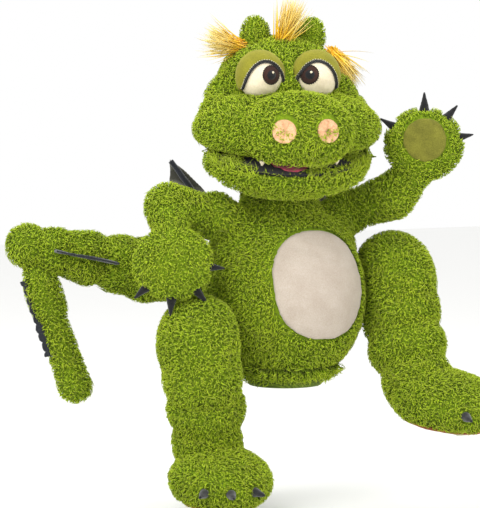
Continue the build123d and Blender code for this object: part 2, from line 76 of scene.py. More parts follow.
HEAD_TURN = math.radians(-12)         # the head looks a little to the puppet's right
FACING = np.array([math.sin(HEAD_TURN), -math.cos(HEAD_TURN), 0])
BAKE_MAP = "OFBake"                   # name of the map where each strand has its own cell
SIDES = ("right", "left")


# ------------------------------------------------------------------ mesh helpers
def node_mesh(node):
    """Vertices and triangles of a CAD node."""
    data = frame["nodes"][node].data
    data.calc_loop_triangles()
    points = np.zeros(len(data.vertices) * 3, np.float32)
    data.vertices.foreach_get("co", points)
    faces = np.zeros(len(data.loop_triangles) * 3, np.int32)
    data.loop_triangles.foreach_get("vertices", faces)
    return points.reshape(-1, 3).astype(float), faces.reshape(-1, 3)


def islands(node):
    """The loose parts of a CAD node, each as (vertices, triangles), ordered along X."""
    points, faces = node_mesh(node)
    _, first, place = np.unique(np.round(points / (0.01 * MM)), axis=0,
                                return_index=True, return_inverse=True)
    points, faces = points[first], place.ravel()[faces]
    label = np.arange(len(points))
    edges = np.concatenate([faces[:, [0, 1]], faces[:, [1, 2]], faces[:, [2, 0]]])
    while True:
        low = np.minimum(label[edges[:, 0]], label[edges[:, 1]])
        new = label.copy()
        np.minimum.at(new, edges[:, 0], low)
        np.minimum.at(new, edges[:, 1], low)
        if (new == label).all():
            break
        label = new
    parts = []
    for each in np.unique(label):
        member = np.flatnonzero(label == each)
        index = np.full(len(points), -1)
        index[member] = np.arange(len(member))
        own = faces[label[faces[:, 0]] == each]
        parts.append((points[member], index[own]))
    return sorted(parts, key=lambda part: part[0][:, 0].mean())


def triangle_data(name, points, faces):
    """A smooth-shaded mesh from arrays of points and triangles."""
    data = bpy.data.meshes.new(name)
    data.vertices.add(len(points))
    data.vertices.foreach_set("co", points.astype(np.float32).ravel())
    data.loops.add(faces.size)
    data.loops.foreach_set("vertex_index", faces.astype(np.int32).ravel())
    data.polygons.add(len(faces))
    data.polygons.foreach_set("loop_start", np.arange(0, faces.size, 3, dtype=np.int32))
    data.polygons.foreach_set("use_smooth", np.ones(len(faces), bool))
    data.update(calc_edges=True)
    return data


def place_object(name, data):
    obj = bpy.data.objects.new(name, data)
    bpy.context.scene.collection.objects.link(obj)
    return obj


def new_object(name, points, faces):
    """An object from points and faces of any size."""
    if isinstance(faces, np.ndarray):
        return place_object(name, triangle_data(name, points, faces))
    data = bpy.data.meshes.new(name)
    data.from_pydata([tuple(p) for p in points], [], faces)
    data.update()
    data.polygons.foreach_set("use_smooth", np.ones(len(data.polygons), bool))
    return place_object(name, data)


def joined(meshes):
    """One (vertices, triangles) pair out of several."""
    offsets = np.cumsum([0] + [len(points) for points, _ in meshes[:-1]])
    return (np.concatenate([points for points, _ in meshes]),
            np.concatenate([faces + offset for (_, faces), offset in zip(meshes, offsets)]))


def ball(centre, radius, rings=12):
    """A round filler, radius in millimetres, that bridges two limb pieces at their joint."""
    spokes = 2 * rings
    polar = np.linspace(0, math.pi, rings + 1)[:, None]
    turn = np.linspace(0, 2 * math.pi, spokes, endpoint=False)[None]
    unit = np.stack([np.sin(polar) * np.cos(turn), np.sin(polar) * np.sin(turn),
                     np.cos(polar) * np.ones_like(turn)], 2).reshape(-1, 3)
    faces = []
    for i in range(rings):
        for j in range(spokes):
            a, b = i * spokes + j, i * spokes + (j + 1) % spokes
            faces += [(a, a + spokes, b + spokes), (a, b + spokes, b)]
    return centre + unit * radius * MM, np.array(faces)


def settle(obj):
    """Applies every modifier of obj to its mesh."""
    graph = bpy.context.evaluated_depsgraph_get()
    data = bpy.data.meshes.new_from_object(obj.evaluated_get(graph))
    obj.modifiers.clear()
    obj.data = data
    data.polygons.foreach_set("use_smooth", np.ones(len(data.polygons), bool))
    return obj


def coords(obj):
    out = np.zeros(len(obj.data.vertices) * 3, np.float32)
    obj.data.vertices.foreach_get("co", out)
    return out.reshape(-1, 3).astype(float)


def normals(obj):
    out = np.zeros(len(obj.data.vertices) * 3, np.float32)
    obj.data.vertex_normals.foreach_get("vector", out)
    return out.reshape(-1, 3).astype(float)


def set_coords(obj, points):
    obj.data.vertices.foreach_set("co", points.astype(np.float32).ravel())
    obj.data.update()


def moulded(name, parts, voxel, smooth=6, level=0):
    """A closed rounded skin in the space of some (vertices, faces) parts."""
    obj = new_object(name, *joined(parts))
    remesh = obj.modifiers.new("remesh", "REMESH")
    remesh.mode = "VOXEL"
    remesh.voxel_size = voxel * MM
    if smooth:
        relax = obj.modifiers.new("relax", "SMOOTH")
        relax.factor = 0.5
        relax.iterations = smooth
    if level:
        obj.modifiers.new("round", "SUBSURF").levels = level
    return settle(obj)


def mask_faces(obj, keep):
    """Keeps only the faces whose centres pass keep(points)."""
    data = obj.data
    centres = np.zeros(len(data.polygons) * 3, np.float32)
    data.polygons.foreach_get("center", centres)
    good = keep(centres.reshape(-1, 3).astype(float))
    points = coords(obj)
    faces = [list(f.vertices) for f, ok in zip(data.polygons, good) if ok]
    used = np.unique([i for f in faces for i in f])
    place = np.full(len(points), -1)
    place[used] = np.arange(len(used))
    fresh = bpy.data.meshes.new(obj.name)
    fresh.from_pydata([tuple(p) for p in points[used]], [], [[int(place[i]) for i in f] for f in faces])
    fresh.update()
    fresh.polygons.foreach_set("use_smooth", np.ones(len(fresh.polygons), bool))
    obj.data = fresh
    return obj


def clone(obj, name):
    return place_object(name, obj.data.copy())


def inflate(jobs, steps=20, pressure=4.0):
    """Stuffs the skins: cloth under pressure, no point moving further than its piece's cap."""
    rest = {}
    for obj, cap in jobs:
        rest[obj.name] = coords(obj)
        cloth = obj.modifiers.new("stuffing", "CLOTH")
        cloth.settings.quality = 4
        cloth.settings.mass = 0.3
        cloth.settings.use_pressure = True
        cloth.settings.uniform_pressure_force = pressure
        cloth.settings.effector_weights.gravity = 0
        cloth.settings.tension_stiffness = 12
        cloth.settings.compression_stiffness = 12
        cloth.settings.bending_stiffness = 0.4
        cloth.collision_settings.use_collision = False
        cloth.point_cache.frame_start = 1
        cloth.point_cache.frame_end = steps
    for step in range(1, steps + 1):
        bpy.context.scene.frame_set(step)
    graph = bpy.context.evaluated_depsgraph_get()
    for obj, cap in jobs:
        done = obj.evaluated_get(graph).data
        out = np.zeros(len(done.vertices) * 3, np.float32)
        done.vertices.foreach_get("co", out)
        move = out.reshape(-1, 3) - rest[obj.name]
        far = np.linalg.norm(move, axis=1, keepdims=True)
        move *= np.minimum(1, cap * MM / np.maximum(far, 1e-9))
        obj.modifiers.clear()
        set_coords(obj, rest[obj.name] + move)
        relax = obj.modifiers.new("relax", "SMOOTH")
        relax.factor = 0.4
        relax.iterations = 2
        settle(obj)
    bpy.context.scene.frame_set(1)


# ------------------------------------------------------------------ materials
def srgb(text):
    """Linear colour from a six-digit hex string."""
    out = []
    for i in (0, 2, 4):
        value = int(text[i:i + 2], 16) / 255
        out.append(value / 12.92 if value <= 0.04045 else ((value + 0.055) / 1.055) ** 2.4)
    return (*out, 1.0)


def new_material(name, roughness=0.9, sheen=0.3, tint="FFFFFF"):
    mat = bpy.data.materials.new(name)
    mat.use_nodes = True
    shader = mat.node_tree.nodes["Principled BSDF"]
    shader.inputs["Roughness"].default_value = roughness
    shader.inputs["Specular IOR Level"].default_value = 0.25
    shader.inputs["Sheen Weight"].default_value = sheen
    shader.inputs["Sheen Roughness"].default_value = 0.5
    shader.inputs["Sheen Tint"].default_value = srgb(tint)
    return mat, mat.node_tree, shader


def noise(tree, size, detail=3.0, stretch=None):
    """Noise whose features are about size millimetres across, in object space."""
    place = tree.nodes.new("ShaderNodeTexCoord")
    source = place.outputs["Object"]
    if stretch:
        mapping = tree.nodes.new("ShaderNodeMapping")
        mapping.inputs["Scale"].default_value = stretch
        tree.links.new(source, mapping.inputs["Vector"])
        source = mapping.outputs["Vector"]
    node = tree.nodes.new("ShaderNodeTexNoise")
    node.inputs["Scale"].default_value = 1 / (size * MM)
    node.inputs["Detail"].default_value = detail
    tree.links.new(source, node.inputs["Vector"])
    return node.outputs["Fac"]


def ramp(tree, source, stops):
    """Colour ramp from (position, hex) stops."""
    node = tree.nodes.new("ShaderNodeValToRGB")
    bar = node.color_ramp.elements
    while len(bar) < len(stops):
        bar.new(0.5)
    for element, (place, colour) in zip(bar, stops):
        element.position = place
        element.color = srgb(colour)
    tree.links.new(source, node.inputs["Fac"])
    return node.outputs["Color"]


def mix(tree, share, first, second, kind="MIX"):
    node = tree.nodes.new("ShaderNodeMix")
    node.data_type = "RGBA"
    node.blend_type = kind
    for socket, value in ((node.inputs[0], share), (node.inputs[6], first), (node.inputs[7], second)):
        if isinstance(value, bpy.types.NodeSocket):
            tree.links.new(value, socket)
        else:
            socket.default_value = value
    return node.outputs[2]


def bump(tree, shader, height, strength, depth):
    node = tree.nodes.new("ShaderNodeBump")
    node.inputs["Strength"].default_value = strength
    node.inputs["Distance"].default_value = depth * MM
    tree.links.new(height, node.inputs["Height"])
    tree.links.new(node.outputs["Normal"], shader.inputs["Normal"])


def attribute(tree, name):
    node = tree.nodes.new("ShaderNodeAttribute")
    node.attribute_name = name
    return node.outputs["Fac"]


def pile_material(name, stops, patches, sheen=0.35, tint="E8F0A0"):
    """Pile that runs from a dark root to a pale tip, tuft by tuft, with broad patches: the dark root is painted shade
    deep in the pile, the pale tip a painted highlight.
    """
    mat, tree, shader = new_material(name, 0.85, sheen, tint)
    # painted shade at the root of each tuft, painted highlight towards its tip
    along = ramp(tree, attribute(tree, "along"), stops)
    tone = ramp(tree, attribute(tree, "shade"), ((0.0, "D2D2D2"), (1.0, "FFFFFF")))
    broad = ramp(tree, noise(tree, 45), ((0.35, patches[0]), (0.65, patches[1])))
    colour = mix(tree, 1.0, along, tone, "MULTIPLY")
    tree.links.new(mix(tree, 1.0, colour, broad, "MULTIPLY"), shader.inputs["Base Color"])
    return mat


def felt_material(name, dark, light, grain=1.2, depth=0.5, sheen=0.3, broad=25, tint="FFFFFF",
                  worn="D8D8D8"):
    """Pressed fibre or short nap: fine grain over broad unevenness."""
    mat, tree, shader = new_material(name, 0.92, sheen, tint)
    fine = ramp(tree, noise(tree, grain, 5), ((0.3, dark), (0.7, light)))
    patch = ramp(tree, noise(tree, broad), ((0.35, worn), (0.65, "FFFFFF")))
    tree.links.new(mix(tree, 1.0, fine, patch, "MULTIPLY"), shader.inputs["Base Color"])
    bump(tree, shader, noise(tree, grain * 0.8, 6), 0.6, depth)
    return mat


def woven_material(name, dark, light, thread=0.9):
    """Plain weave: two crossing sets of threads."""
    mat, tree, shader = new_material(name, 0.88, 0.15)
    place = tree.nodes.new("ShaderNodeTexCoord")
    heights = []
    for direction in ("DIAGONAL", "Z"):
        wave = tree.nodes.new("ShaderNodeTexWave")
        wave.bands_direction = direction
        wave.inputs["Scale"].default_value = 1 / (thread * MM) / 6
        wave.inputs["Distortion"].default_value = 0.6
        tree.links.new(place.outputs["Object"], wave.inputs["Vector"])
        heights.append(wave.outputs["Fac"])
    cross = mix(tree, 0.5, heights[0], heights[1])
    tree.links.new(ramp(tree, cross, ((0.2, dark), (0.8, light))), shader.inputs["Base Color"])
    bump(tree, shader, cross, 0.5, 0.3)
    return mat


# stops from root to tip: the dark roots are painted shade, the pale tips painted highlight
plush = pile_material("plush_pile", ((0.0, "6A8A0A"), (0.4, "9CB818"), (0.75, "BED22C"),
                                     (1.0, "E2EC66")), ("F0F6E0", "FFFFF4"), 0.2, "E8E890")
# stops from root to tip: the deeper root is painted shade, the pale tip painted highlight
golden = pile_material("golden_pile", ((0.0, "FFBE00"), (0.35, "FFD430"), (1.0, "FFF0A8")),
                       ("FFF6E0", "FFFFFF"), 0.3, "FFF2C8")
peach_velour = felt_material("peach_velour", "D09A70", "ECC49C", 0.8, 0.3, 0.3, 9, "FFE8D0", "E6DCD4")
backing = felt_material("plush_backing", "5E7808", "86A018", 1.8, 0.8, 0.1, 30, "C8D860")
white_felt = felt_material("white_felt", "D8CAAC", "ECE0C6", 1.0, 0.3, 0.2, 25, "FFF8EE", "F0EEEC")
black_felt = felt_material("black_felt", "0A0A0C", "1E1E22", 1.0, 0.5, 0.35)
dark_felt = felt_material("dark_felt", "14161C", "2C3038", 1.1, 0.5, 0.4)
mouth_cloth = felt_material("mouth_cloth", "08080A", "17171A", 0.9, 0.3, 0.15)
iris_felt = felt_material("iris_felt", "2C1A12", "48302A", 1.0, 0.25, 0.1)
lid_velour = felt_material("lid_velour", "706E18", "948F2C", 0.9, 0.35, 0.25, 14, "E0DC90", "EAEAEA")
belly_velour = felt_material("belly_velour", "A89B8C", "BAAFA3", 1.1, 0.4, 0.3, 26, "FFF8EE", "F4F2F0")
tongue_velour = felt_material("tongue_velour", "B83C52", "E06C80", 1.0, 0.4, 0.5, 8, "FFC8D0")
palm_velour = felt_material("palm_velour", "5E5E1B", "827F30", 1.0, 0.4, 0.25, 18, "E0E890")
sole_suede = felt_material("sole_suede", "7E4426", "A46240", 1.2, 0.4, 0.4, 16, "FFD0B0")
thread_pale = felt_material("pale_thread", "C8C49A", "E6E2C0", 0.4, 0.1, 0.1)
thread_dark = felt_material("dark_thread", "0C0C0C", "242420", 0.4, 0.1, 0.1)
thread_green = felt_material("green_thread", "485A14", "6C8020", 0.4, 0.1, 0.1)
fill_fibre = felt_material("polyester_fill", "DADADA", "F6F6F6", 2.5, 1.0, 0.5)
lining_weave = woven_material("lining_weave", "2A3A10", "4A6020")
hem_weave = woven_material("hem_weave", "3E5010", "6E8426", 1.2)


def finish(obj, mat, body=None, nodes=()):
    """Material, body, material slot and the CAD nodes that obj stands for."""
    obj.data.materials.clear()
    obj.data.materials.append(mat)
    if body:
        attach(obj, body)
    if nodes:
        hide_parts(*nodes)
    return obj


# ------------------------------------------------------------------ pile and thread
def strand_object(name, paths, radius, mat, flat=0.55, shade=None, random=None):
    """Tapered three-sided strands along paths, an array of (strand, point, xyz) in metres.

    radius has one value per strand and point; the last point is the tip."""
    count, length = paths.shape[:2]
    heading = np.diff(paths, axis=1)
    heading = np.concatenate([heading, heading[:, -1:]], axis=1)
    heading /= np.maximum(np.linalg.norm(heading, axis=2, keepdims=True), 1e-9)
    side = np.cross(heading[:, :1], random.normal(size=(count, 1, 3)))
    side = side - (side * heading).sum(2, keepdims=True) * heading
    side /= np.maximum(np.linalg.norm(side, axis=2, keepdims=True), 1e-9)
    other = np.cross(heading, side)
    rings = length - 1
    points = np.zeros((count, rings * 3 + 1, 3))
    for corner in range(3):
        turn = 2 * math.pi * corner / 3
        offset = side * math.cos(turn) + other * math.sin(turn) * flat
        points[:, corner:rings * 3:3] = paths[:, :rings] + offset[:, :rings] * radius[:, :rings, None]
    points[:, -1] = paths[:, -1]
    faces, marks = [], []
    for ring in range(rings - 1):
        for corner in range(3):
            a, b = ring * 3 + corner, ring * 3 + (corner + 1) % 3
            faces.append((a, b, b + 3))
            faces.append((a, b + 3, a + 3))
    tip = rings * 3
    for corner in range(3):
        faces.append((tip - 3 + corner, tip - 3 + (corner + 1) % 3, tip))
    faces.append((2, 1, 0))
    faces = np.array(faces)
    size = rings * 3 + 1
    every = (faces[None] + (np.arange(count) * size)[:, None, None]).reshape(-1, 3)
    data = triangle_data(name, points.reshape(-1, 3), every)
    along = np.repeat(np.arange(length) / (length - 1), 3)[:rings * 3]
    along = np.append(along, 1.0)
    shade = random.random(count) if shade is None else shade
    for label, values in (("along", np.tile(along, count)), ("shade", np.repeat(shade, size))):
        layer = data.attributes.new(label, "FLOAT", "POINT")
        layer.data.foreach_set("value", values.astype(np.float32))
    bake_cells(data, every, along, count, size)
    data.materials.append(mat)
    return place_object(name, data)


def bake_cells(data, faces, along, count, size):
    """A map where each strand has its own cell, root at the bottom and tip at the top."""
    columns = math.ceil(math.sqrt(count))
    strand, local = faces.ravel() // size, faces.ravel() % size
    across = 0.2 + 0.3 * (local % 3)
    u = (strand % columns + across) / columns
    v = (strand // columns + 0.15 + 0.7 * along[local]) / columns
    layer = data.uv_layers.new(name=BAKE_MAP)
    layer.data.foreach_set("uv", np.stack([u, v], 1).astype(np.float32).ravel())


def sample(skin, spacing, random):
    """Random points on a skin, one per square of the spacing, with their smooth normals."""
    data = skin.data
    data.calc_loop_triangles()
    corner = np.zeros(len(data.loop_triangles) * 3, np.int32)
    data.loop_triangles.foreach_get("vertices", corner)
    corner = corner.reshape(-1, 3)
    points, outward = coords(skin), normals(skin)
    a, b, c = (points[corner[:, i]] for i in range(3))
    area = np.linalg.norm(np.cross(b - a, c - a), axis=1) / 2
    count = int(area.sum() / (spacing * MM) ** 2)
    pick = np.searchsorted(np.cumsum(area) / area.sum(), (np.arange(count) + random.random(count)) / count)
    pick = np.minimum(pick, len(corner) - 1)
    u, v = random.random(count), random.random(count)
    flip = u + v > 1
    u[flip], v[flip] = 1 - u[flip], 1 - v[flip]
    weights = np.stack([1 - u - v, u, v], 1)[:, :, None]
    place = (points[corner[pick]] * weights).sum(1)
    facing = (outward[corner[pick]] * weights).sum(1)
    facing /= np.maximum(np.linalg.norm(facing, axis=1, keepdims=True), 1e-9)
    return place, facing


def swirl(points, size=28.0):
    """A slow, smooth vector field that makes neighbouring tufts lean together."""
    p = points / (size * MM)
    x, y, z = p[:, 0], p[:, 1], p[:, 2]
    return np.stack([np.sin(2.1 * y + 1.3 * z) + np.sin(5.3 * z + 2.0 * x) * 0.6,
                     np.sin(1.9 * z + 1.7 * x) + np.sin(4.7 * x + 2.3 * y) * 0.6,
                     np.sin(2.3 * x + 1.1 * y) + np.sin(5.1 * y + 1.9 * z) * 0.6], 1)


def pile(name, skin, mat, seed, spacing=2.5, length=10.0, radius=1.0, lay=DOWN, comb=0.5,
         keep=None, rise=0.95, wild=0.6):
    """Plush pile on a skin: every tuft leans along lay, curls a little and tapers to a point."""
    random = np.random.default_rng(seed)
    root, facing = sample(skin, spacing, random)
    if keep is not None:
        good = keep(root, facing)
        root, facing = root[good], facing[good]
    count = len(root)
    wish = lay(root) if callable(lay) else np.tile(lay, (count, 1))
    wish = wish * comb + swirl(root) * 0.45 + random.normal(size=(count, 3)) * wild
    lean = wish - (wish * facing).sum(1, keepdims=True) * facing
    long = length * MM * random.uniform(0.7, 1.15, count)[:, None]
    start = root - facing * 0.8 * MM
    curl = np.cross(facing, lean) * random.normal(size=(count, 1)) * 0.35
    middle = root + long * (facing * 0.5 * rise + lean * 0.2 + curl * 0.6)
    tip = root + long * (facing * 0.66 * rise + lean * 0.5 - curl * 0.4)
    paths = np.stack([start, middle, tip], 1)
    thick = radius * MM * random.uniform(0.75, 1.2, count)
    widths = np.stack([thick, thick * 0.85, thick * 0], 1)
    return strand_object(name, paths, widths, mat, random=random)


def stitches(name, path, mat, length=2.6, gap=1.6, radius=0.45, lift=None, closed=True):
    """Short rounded stitches laid along a line of points."""
    line = np.array(path, float)
    if closed:
        line = np.concatenate([line, line[:1]])
    step = np.linalg.norm(np.diff(line, axis=0), axis=1)
    total = np.concatenate([[0], np.cumsum(step)])
    count = max(3, int(total[-1] / ((length + gap) * MM)))
    pitch = total[-1] / count
    points, faces = [], []
    for i in range(count):
        ends = [i * pitch, i * pitch + pitch * length / (length + gap)]
        rows = []
        for share, bulge in ((0, 0.35), (0.2, 0.9), (0.5, 1.0), (0.8, 0.9), (1, 0.35)):
            at = ends[0] + (ends[1] - ends[0]) * share
            centre = np.array([np.interp(at, total, line[:, k]) for k in range(3)])
            ahead = np.array([np.interp(min(at + 0.5 * MM, total[-1]), total, line[:, k]) for k in range(3)])
            behind = np.array([np.interp(max(at - 0.5 * MM, 0), total, line[:, k]) for k in range(3)])
            heading = ahead - behind
            heading /= max(np.linalg.norm(heading), 1e-9)
            side = np.cross(heading, FACING if abs(heading @ FACING) < 0.9 else UP)
            side /= np.linalg.norm(side)
            other = np.cross(heading, side)
            rows.append([centre + radius * MM * bulge * (side * math.cos(t) + other * math.sin(t))
                         for t in np.linspace(0, 2 * math.pi, 7)[:-1]])
        offset = len(points)
        points += [p for row in rows for p in row]
        for r in range(len(rows) - 1):
            for k in range(6):
                a, b = offset + r * 6 + k, offset + r * 6 + (k + 1) % 6
                faces.append([a, b, b + 6, a + 6])
        faces.append([offset + k for k in range(5, -1, -1)])
        last = offset + (len(rows) - 1) * 6
        faces.append([last + k for k in range(6)])
    obj = new_object(name, points, faces)
    obj.data.materials.append(mat)
    return obj


# ------------------------------------------------------------------ places from the frame
JOINT = {j["name"]: np.array(j["pos_m"], float) for j in frame["joints"]}


def box(node):
    low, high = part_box(node)
    return np.array(low), np.array(high)


def middle(node):
    low, high = box(node)
    return (low + high) / 2


def unit(vector):
    return vector / max(np.linalg.norm(vector), 1e-9)


def surface(points, faces):
    return BVHTree.FromPolygons([tuple(p) for p in points], [tuple(int(i) for i in f) for f in faces])


def clear_of(nodes, gap):
    """A test for points more than gap millimetres away from CAD nodes."""
    tree = surface(*joined([node_mesh(n) for n in nodes]))

    def test(points, facing):
        return np.array([tree.find_nearest(tuple(p), gap * MM)[0] is None for p in points], bool)
    return test


def outside_tube(axis, radius, top):
    """A test for points outside an upright tube about axis that ends at height top."""
    def test(points, facing):
        away = np.hypot(points[:, 0] - axis[0], points[:, 1] - axis[1])
        return (away > radius * MM) | (points[:, 2] > top * MM)
    return test


def all_of(*tests):
    def test(points, facing):
        good = np.ones(len(points), bool)
        for each in tests:
            good[good] = each(points[good], facing[good])
        return good
    return test


def ahead_of(place, direction):
    return lambda points: (points - place) @ direction > 0


def behind(place, direction):
    return lambda points: (points - place) @ direction <= 0


def ripple(obj, height, size, seed=0, along=None):
    """Soft wrinkles: moves the points along their normals, or along one direction."""
    points = coords(obj)
    push = normals(obj) if along is None else np.tile(along, (len(points), 1))
    wave = swirl(points + seed * 0.1, size)[:, :1] * 0.6
    set_coords(obj, points + push * wave * height * MM)
    return obj


# ------------------------------------------------------------------ skins
NECK = JOINT["neck_turn"]
collar = np.array([NECK[0], NECK[1] - 12 * MM, box("body_skin")[1][2] - 34 * MM])
torso = moulded("torso_skin", [node_mesh("body_skin"), node_mesh("body_stuffing"),
                               ball(collar, 54)], 4.5, 8)


def face_spot(aside, forward, height):
    """A point in millimetres beside, ahead of and above the foot of the neck's turning axis."""
    across = np.cross(FACING, UP)
    return np.array([NECK[0], NECK[1], 0]) + (across * aside + FACING * forward + UP * height) * MM


cheeks = [ball(face_spot(side * 72, 32, 384), 30) for side in (-1, 1)]
cheeks += [ball(face_spot(side * 88, 48, 362), 26) for side in (-1, 1)]
head = moulded("head_skin", [node_mesh("head_skin"), node_mesh("head_stuffing"), node_mesh("muzzle")] + cheeks,
               4, 5)
jowls = [ball(face_spot(side * 92, 66, 303), 17) for side in (-1, 1)]
jowls += [ball(face_spot(side * 80, 92, 293), 17) for side in (-1, 1)]
jaw = moulded("jaw_skin", [node_mesh("jaw_skin")] + jowls, 3.5, 3)
bend, curl = JOINT["tail_bend"], JOINT["tail_curl"]
tail = moulded("tail_skin", [node_mesh("tail_base"), node_mesh("tail_mid"), node_mesh("tail_tip"),
                             ball(bend, 39), ball(curl, 26), ball(bend * 0.78 + curl * 0.22, 36),
                             ball(bend * 0.5 + curl * 0.5, 33), ball(bend * 0.22 + curl * 0.78, 29)], 4, 6)
arms, legs, haunches = {}, {}, {}
for side in SIDES:
    shoulder, elbow, wrist = (JOINT[f"{side}_{part}"] for part in ("shoulder", "elbow", "wrist"))
    arms[side] = moulded(f"arm_{side}_skin", [
        node_mesh(f"upper_arm_{side}"), node_mesh(f"forearm_{side}"), node_mesh(f"paw_{side}"),
        ball(shoulder * 0.3 + elbow * 0.7, 26), ball(shoulder * 0.6 + elbow * 0.4, 24), ball(elbow, 28),
        ball(elbow * 0.5 + wrist * 0.5, 25), ball(wrist, 22)], 3.5, 6)
    legs[side] = moulded(f"leg_{side}_skin", [
        node_mesh(f"shin_{side}"), node_mesh(f"foot_{side}"),
        ball(JOINT[f"{side}_ankle"] + UP * 6 * MM, 43),
        ball(JOINT[f"{side}_ankle"] * 0.45 + JOINT[f"{side}_knee"] * 0.55, 46)], 4, 14)
    haunches[side] = moulded(f"haunch_{side}_skin", [node_mesh(f"haunch_{side}")], 4, 6)

inflate([(torso, 3.0), (head, 2.5), (jaw, 2.0), (tail, 3.0)]
        + [(skin, 2.5) for group in (arms, legs, haunches) for skin in group.values()])


# ------------------------------------------------------------------ torso
def lay_out_from(centre, down):
    """Pile direction that runs down and away from a centre."""
    def lay(points):
        away = points - centre
        away /= np.maximum(np.linalg.norm(away, axis=1, keepdims=True), 1e-9)
        return away * 0.4 + DOWN * down
    return lay


def plush_piece(name, skin, body, nodes, seed, lay=DOWN, keep=None, bend=None, **pile_options):
    """A skin with its pile on one body, or, when bend is given, left on no body with its shape fixed in world space;
    bend is (body, start, end).
    """
    finish(skin, backing, None if bend else body, nodes)
    coat = pile(f"{name}_pile", skin, plush, seed, lay=lay, keep=keep, **pile_options)
    finish(coat, plush, None if bend else body)
    if bend:
        for each in (skin, coat):
            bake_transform(each)
    return coat


hand_hole = outside_tube((0, 0), 54, 205)
plush_piece("torso", torso, "torso", ("body_skin", "body_stuffing"), 11,
            lay_out_from(middle("body_skin"), 0.9),
            all_of(hand_hole, clear_of(["belly_patch"], 1.8), clear_of(["base_panel"], 2.0)))

panel = moulded("base_panel_skin", [node_mesh("base_panel")], 2.5, 2)
plush_piece("base_panel", panel, "torso", ("base_panel",), 12, UP * 0.1,
            all_of(clear_of(["entry_cuff"], 1.5), lambda p, n: n[:, 2] < -0.3), length=17, rise=1.3)

patch = moulded("belly_patch_soft", [node_mesh("belly_patch")], 2.0, 6, 1)
finish(ripple(patch, 0.7, 16), belly_velour, "torso", ("belly_patch",))

cuff = moulded("entry_cuff_hem", [node_mesh("entry_cuff")], 1.6, 3)
finish(cuff, hem_weave, "torso", ("entry_cuff",))
low, high = box("entry_cuff")
rim = (high[0] - low[0]) / 2 + 0.2 * MM
for row, height in enumerate((0.25, 0.8)):
    ring = [(rim * math.cos(t), rim * math.sin(t), low[2] + (high[2] - low[2]) * height)
            for t in np.linspace(0, 2 * math.pi, 97)[:-1]]
    finish(stitches(f"cuff_stitches_{row}", ring, thread_green), thread_green, "torso")

sleeve = moulded("hand_sleeve_lining", [node_mesh("hand_sleeve")], 2.2, 3)
finish(ripple(sleeve, 0.5, 14), lining_weave, "torso", ("hand_sleeve",))

neck = moulded("neck_skin", [node_mesh("neck_sleeve")], 3.5, 3)
plush_piece("neck", neck, "neck", ("neck_sleeve",), 13, DOWN,
            outside_tube(NECK[:2], 38, 900), spacing=3.6)


# ------------------------------------------------------------------ head
face_bits = ["eye_right", "eye_left", "eyelid_right", "eyelid_left", "nostril_right", "nostril_left"]


def head_lay(points):
    """Cranium pile runs back and down; muzzle pile runs down and out from the middle."""
    away = points - middle("muzzle")
    away /= np.maximum(np.linalg.norm(away, axis=1, keepdims=True), 1e-9)
    high_up = np.clip((points[:, 2] - 0.38) / 0.06, 0, 1)[:, None]
    return DOWN * (0.9 - 0.5 * high_up) + away * 0.45 - FACING * 0.35 * high_up


def nearness(node, reach):
    """How near points are to a CAD node: 1 on it, falling to 0 at reach millimetres."""
    tree = surface(*node_mesh(node))

    def near(points):
        found = (tree.find_nearest(tuple(p), reach * MM)[3] for p in points)
        return np.array([0.0 if gap is None else 1 - gap / (reach * MM) for gap in found])
    return near


by_upper, by_lower = nearness("upper_mouth_plate", 13), nearness("lower_mouth_plate", 13)
MOUTH_OPEN = (-10, 56)                # the stretch of lip that the pile leaves open, towards its right


def jaw_lay(points):
    """Jaw pile runs out and down, and stands up along the rim so that it hides the plate."""
    away = points - middle("jaw_skin")
    away /= np.maximum(np.linalg.norm(away, axis=1, keepdims=True), 1e-9)
    return away * 0.5 + DOWN * (0.8 - 2.4 * by_lower(points)[:, None])


def lip(near, level):
    """A test for points close to a mouth plate but outside the open middle of the mouth."""
    def test(points, facing):
        aside = (points - NECK) @ np.cross(FACING, UP) / MM
        return (near(points) > level) & ((aside < MOUTH_OPEN[0]) | (aside > MOUTH_OPEN[1]))
    return test


neck_hole = outside_tube(NECK[:2], 52, 352)
plush_piece("head", head, "head", ("head_skin", "head_stuffing", "muzzle"), 21, head_lay,
            all_of(neck_hole, clear_of(["upper_mouth_plate"], 1.2), clear_of(face_bits, 1.0)))
plush_piece("jaw", jaw, "jaw", ("jaw_skin",), 22, jaw_lay,
            all_of(clear_of(["lower_mouth_plate"], 1.2), neck_hole))
for name, skin, body, near, lay, seed in (("upper_lip", head, "head", by_upper, DOWN, 25),
                                          ("lower_lip", jaw, "jaw", by_lower, UP, 26)):
    fringe = pile(f"{name}_pile", skin, plush, seed, 2.1, 16.0, 1.05, lay, 1.7, lip(near, 0.2), 0.5, 0.4)
    finish(fringe, plush, body)
for each in SIDES:
    ear = moulded(f"ear_{each}_soft", [node_mesh(f"ear_{each}")], 2.0, 4)
    plush_piece(f"ear_{each}", ear, "head", (f"ear_{each}",), 23 + len(each), UP, None,
                spacing=2.2, length=7.5, radius=0.9, comb=0.7)


